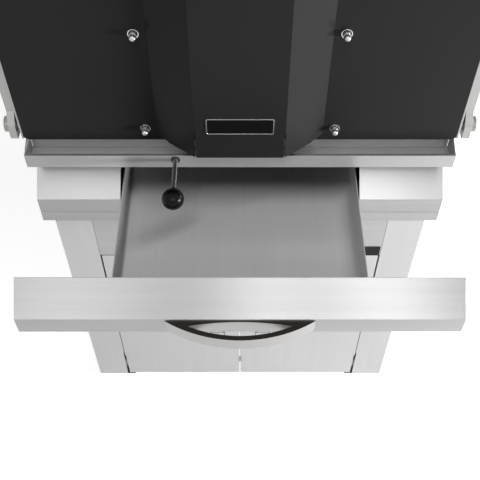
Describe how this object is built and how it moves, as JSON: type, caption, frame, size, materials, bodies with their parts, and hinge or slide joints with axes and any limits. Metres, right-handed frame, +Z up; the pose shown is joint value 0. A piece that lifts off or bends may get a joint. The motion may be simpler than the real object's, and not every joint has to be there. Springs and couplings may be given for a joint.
{
  "type": "bread slicer",
  "caption": "Floor-standing bread slicer in brushed steel: black front cover, side-arm pusher, pull-out crumb drawer with bow handle, two-door cabinet",
  "frame": {"origin": "middle of the whole part in X and Y with the drawer out as at rest, on the floor", "axes": "+Z up; the operator stands on the -Y side and sees +X to the right"},
  "size_m": [0.7656, 0.8946, 1.329],
  "materials": {
    "brushed_stainless": "brushed stainless sheet, fine straight grain",
    "plain_steel": "plain bright steel",
    "handle_steel": "satin stainless bar",
    "black_powder_coat": "semi-gloss black powder coat",
    "black_plastic": "moulded black plastic",
    "gloss_black_knob": "polished black phenolic",
    "black_rubber": "black rubber",
    "bronze": "machined bronze",
    "zinc_fasteners": "bright plated steel",
    "blade_steel": "ground blade steel",
    "cast_housing": "grey cast iron",
    "motor_paint": "dark motor enamel",
    "green_plastic": "green push button",
    "red_plastic": "red push button"
  },
  "bodies": {
    "frame": {"cabinet_side_left": "brushed_stainless", "cabinet_side_right": "brushed_stainless", "cabinet_back": "brushed_stainless", "cabinet_fascia": "brushed_stainless", "cabinet_top": "brushed_stainless", "cabinet_floor": "brushed_stainless", "cabinet_shelf": "brushed_stainless", "levelling_feet": "black_rubber", "hinge_brackets": "plain_steel", "hinge_pins": "plain_steel", "door_catch": "black_plastic", "base_housing": "brushed_stainless", "drawer_rails": "plain_steel", "crumb_trough": "brushed_stainless", "upper_housing": "brushed_stainless", "front_cover": "black_powder_coat", "centre_cover": "black_powder_coat", "cover_studs": "zinc_fasteners", "cover_spacers": "plain_steel", "cover_washers": "zinc_fasteners", "rod_guide": "bronze", "pivot_bolts": "zinc_fasteners", "deck": "brushed_stainless", "blade_tower_left": "brushed_stainless", "blade_tower_right": "brushed_stainless", "top_hood": "black_powder_coat", "guide_blocks": "bronze", "bread_fences": "brushed_stainless", "crank_case": "cast_housing", "drive_bracket": "plain_steel", "motor": "motor_paint", "motor_cradle": "plain_steel", "drive_belt": "black_rubber", "rear_panel": "brushed_stainless", "panel_screws": "zinc_fasteners", "switch_box": "black_plastic", "cable_gland": "black_plastic"},
    "left_door": {"door_left": "brushed_stainless", "door_pull_left": "plain_steel"},
    "right_door": {"door_right": "brushed_stainless", "door_pull_right": "plain_steel"},
    "drawer": {"drawer_box": "brushed_stainless", "drawer_front": "brushed_stainless", "drawer_handle": "handle_steel"},
    "release": {"release_rod": "zinc_fasteners", "ball_knob": "gloss_black_knob"},
    "pusher": {"pusher_arm_left": "brushed_stainless", "pusher_arm_right": "brushed_stainless", "pusher_bar": "brushed_stainless", "pusher_plate": "brushed_stainless", "pusher_grip": "black_plastic"},
    "front_blade_frame": {"front_frame": "plain_steel", "front_blades": "blade_steel"},
    "rear_blade_frame": {"rear_frame": "plain_steel", "rear_blades": "blade_steel"},
    "crank": {"input_shaft": "plain_steel", "driven_pulley": "cast_housing"},
    "motor_rotor": {"motor_pulley": "cast_housing"},
    "start": {"start_button": "green_plastic"},
    "stop": {"stop_button": "red_plastic"}
  },
  "joints": [
    {"name": "left_door_hinge", "type": "hinge", "parent": "frame", "child": "left_door", "pos_m": [-0.255, -0.1652, 0.24], "axis": [0, 0, -1], "range_deg": [0, 105]},
    {"name": "right_door_hinge", "type": "hinge", "parent": "frame", "child": "right_door", "pos_m": [0.255, -0.1652, 0.24], "axis": [0, 0, 1], "range_deg": [0, 105]},
    {"name": "drawer_slide", "type": "slide", "parent": "frame", "child": "drawer", "axis": [0, -1, 0], "range_m": [-0.226, 0.12]},
    {"name": "release_slide", "type": "slide", "parent": "frame", "child": "release", "axis": [0, 1, 0], "range_m": [0, 0.015]},
    {"name": "pusher_hinge", "type": "hinge", "parent": "frame", "child": "pusher", "pos_m": [0, -0.1187, 0.767], "axis": [1, 0, 0], "range_deg": [-10, 35]},
    {"name": "front_blade_slide", "type": "slide", "parent": "frame", "child": "front_blade_frame", "axis": [0, 0, 1], "range_m": [-0.015, 0.015]},
    {"name": "rear_blade_slide", "type": "slide", "parent": "frame", "child": "rear_blade_frame", "axis": [0, 0, 1], "range_m": [-0.015, 0.015]},
    {"name": "crank_spin", "type": "hinge", "parent": "frame", "child": "crank", "pos_m": [0, -0.1007, 0.965], "axis": [0, 1, 0], "continuous": true},
    {"name": "motor_spin", "type": "hinge", "parent": "frame", "child": "motor_rotor", "pos_m": [0, -0.1007, 0.83], "axis": [0, 1, 0], "continuous": true},
    {"name": "start_press", "type": "slide", "parent": "frame", "child": "start", "axis": [-1, 0, 0], "range_m": [0, 0.003], "stiffness_N_per_m": 400},
    {"name": "stop_press", "type": "slide", "parent": "frame", "child": "stop", "axis": [-1, 0, 0], "range_m": [0, 0.003], "stiffness_N_per_m": 400}
  ],
  "couplings": [
    {"joint": "rear_blade_slide", "follows": "front_blade_slide", "ratio": -1},
    {"joint": "motor_spin", "follows": "crank_spin", "ratio": 2.5}
  ]
}
